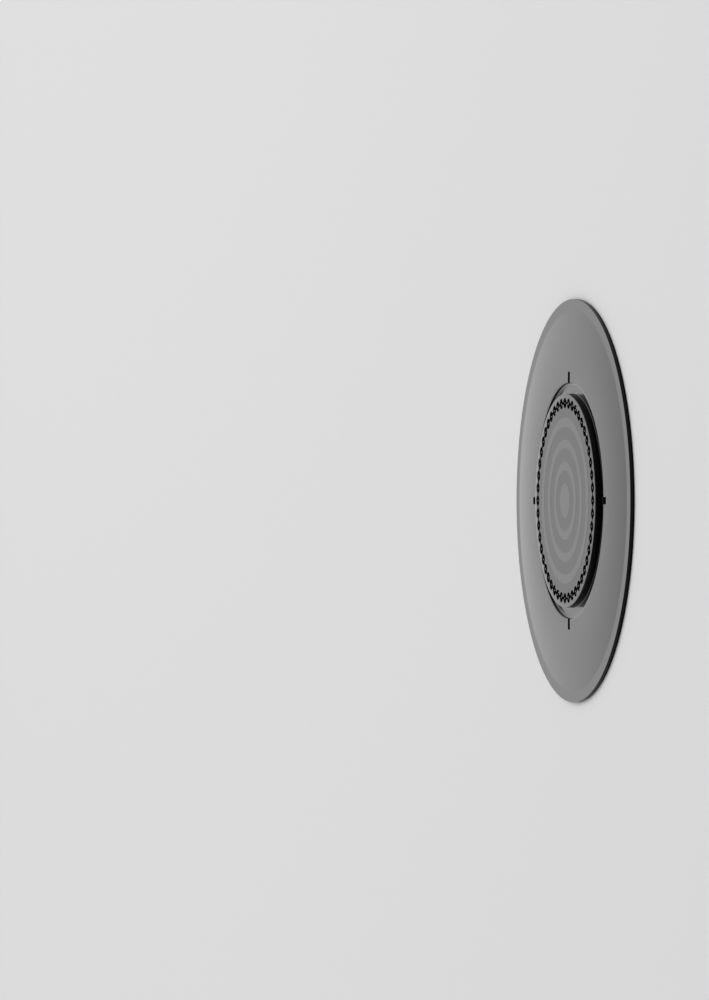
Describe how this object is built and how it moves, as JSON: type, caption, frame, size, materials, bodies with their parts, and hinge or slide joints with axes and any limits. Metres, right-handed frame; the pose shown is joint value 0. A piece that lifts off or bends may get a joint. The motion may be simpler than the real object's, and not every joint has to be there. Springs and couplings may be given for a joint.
{
  "type": "adhesive magnetic phone patch",
  "caption": "Thin round stick-on patch: domed flange, groove and raised boss ringed by index seats, with a magnet behind the boss and an adhesive pad over the whole back.",
  "frame": {"origin": "centre of the adhesive face, on the surface that the patch is stuck to", "axes": "+Z along the disc's axis, away from the phone; one mark lies on each of +X, +Y, -X and -Y"},
  "size_m": [0.061, 0.061, 0.0018],
  "materials": {
    "plate_plastic": "fine satin moulded black",
    "magnet_plating": "satin nickel plating",
    "adhesive_foam": "matt black foam tape"
  },
  "bodies": {
    "root": {"patch_plate": "plate_plastic", "magnet_disc": "magnet_plating", "adhesive_pad": "adhesive_foam"}
  },
  "joints": []
}
